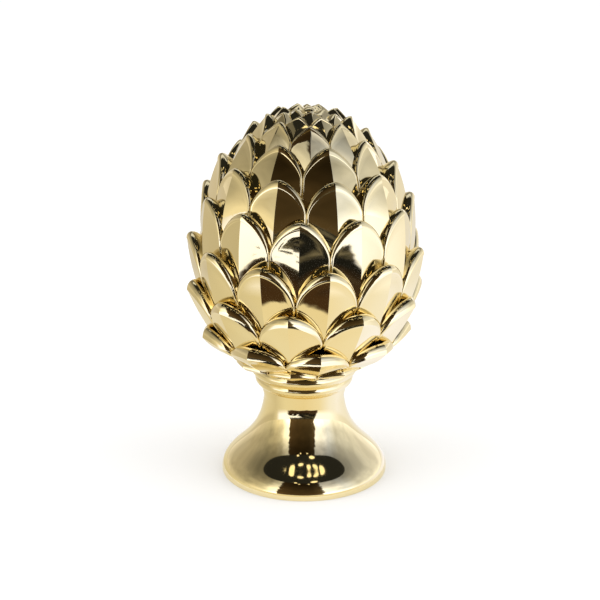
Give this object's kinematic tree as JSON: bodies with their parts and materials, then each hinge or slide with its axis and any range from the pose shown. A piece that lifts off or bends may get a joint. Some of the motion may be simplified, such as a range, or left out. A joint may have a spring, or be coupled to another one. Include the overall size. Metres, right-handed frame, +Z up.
{
  "type": "pinecone finial",
  "caption": "Standing pinecone ornament: overlapping keeled scales on a flared, turned pedestal, plated in polished pale gold.",
  "frame": {"origin": "centre of the flat underside, on the axis of the turned pedestal", "axes": "+Z up along the pedestal's axis to the tip of the cone, -Y towards the side that the picture shows, +X to its right"},
  "size_m": [0.1295, 0.13, 0.21],
  "materials": {
    "gold_plate": "mirror-polished pale champagne-gold plating over a glazed ceramic casting, slightly uneven, roughness about 0.06"
  },
  "bodies": {
    "root": {"pinecone_finial": "gold_plate"}
  },
  "joints": []
}
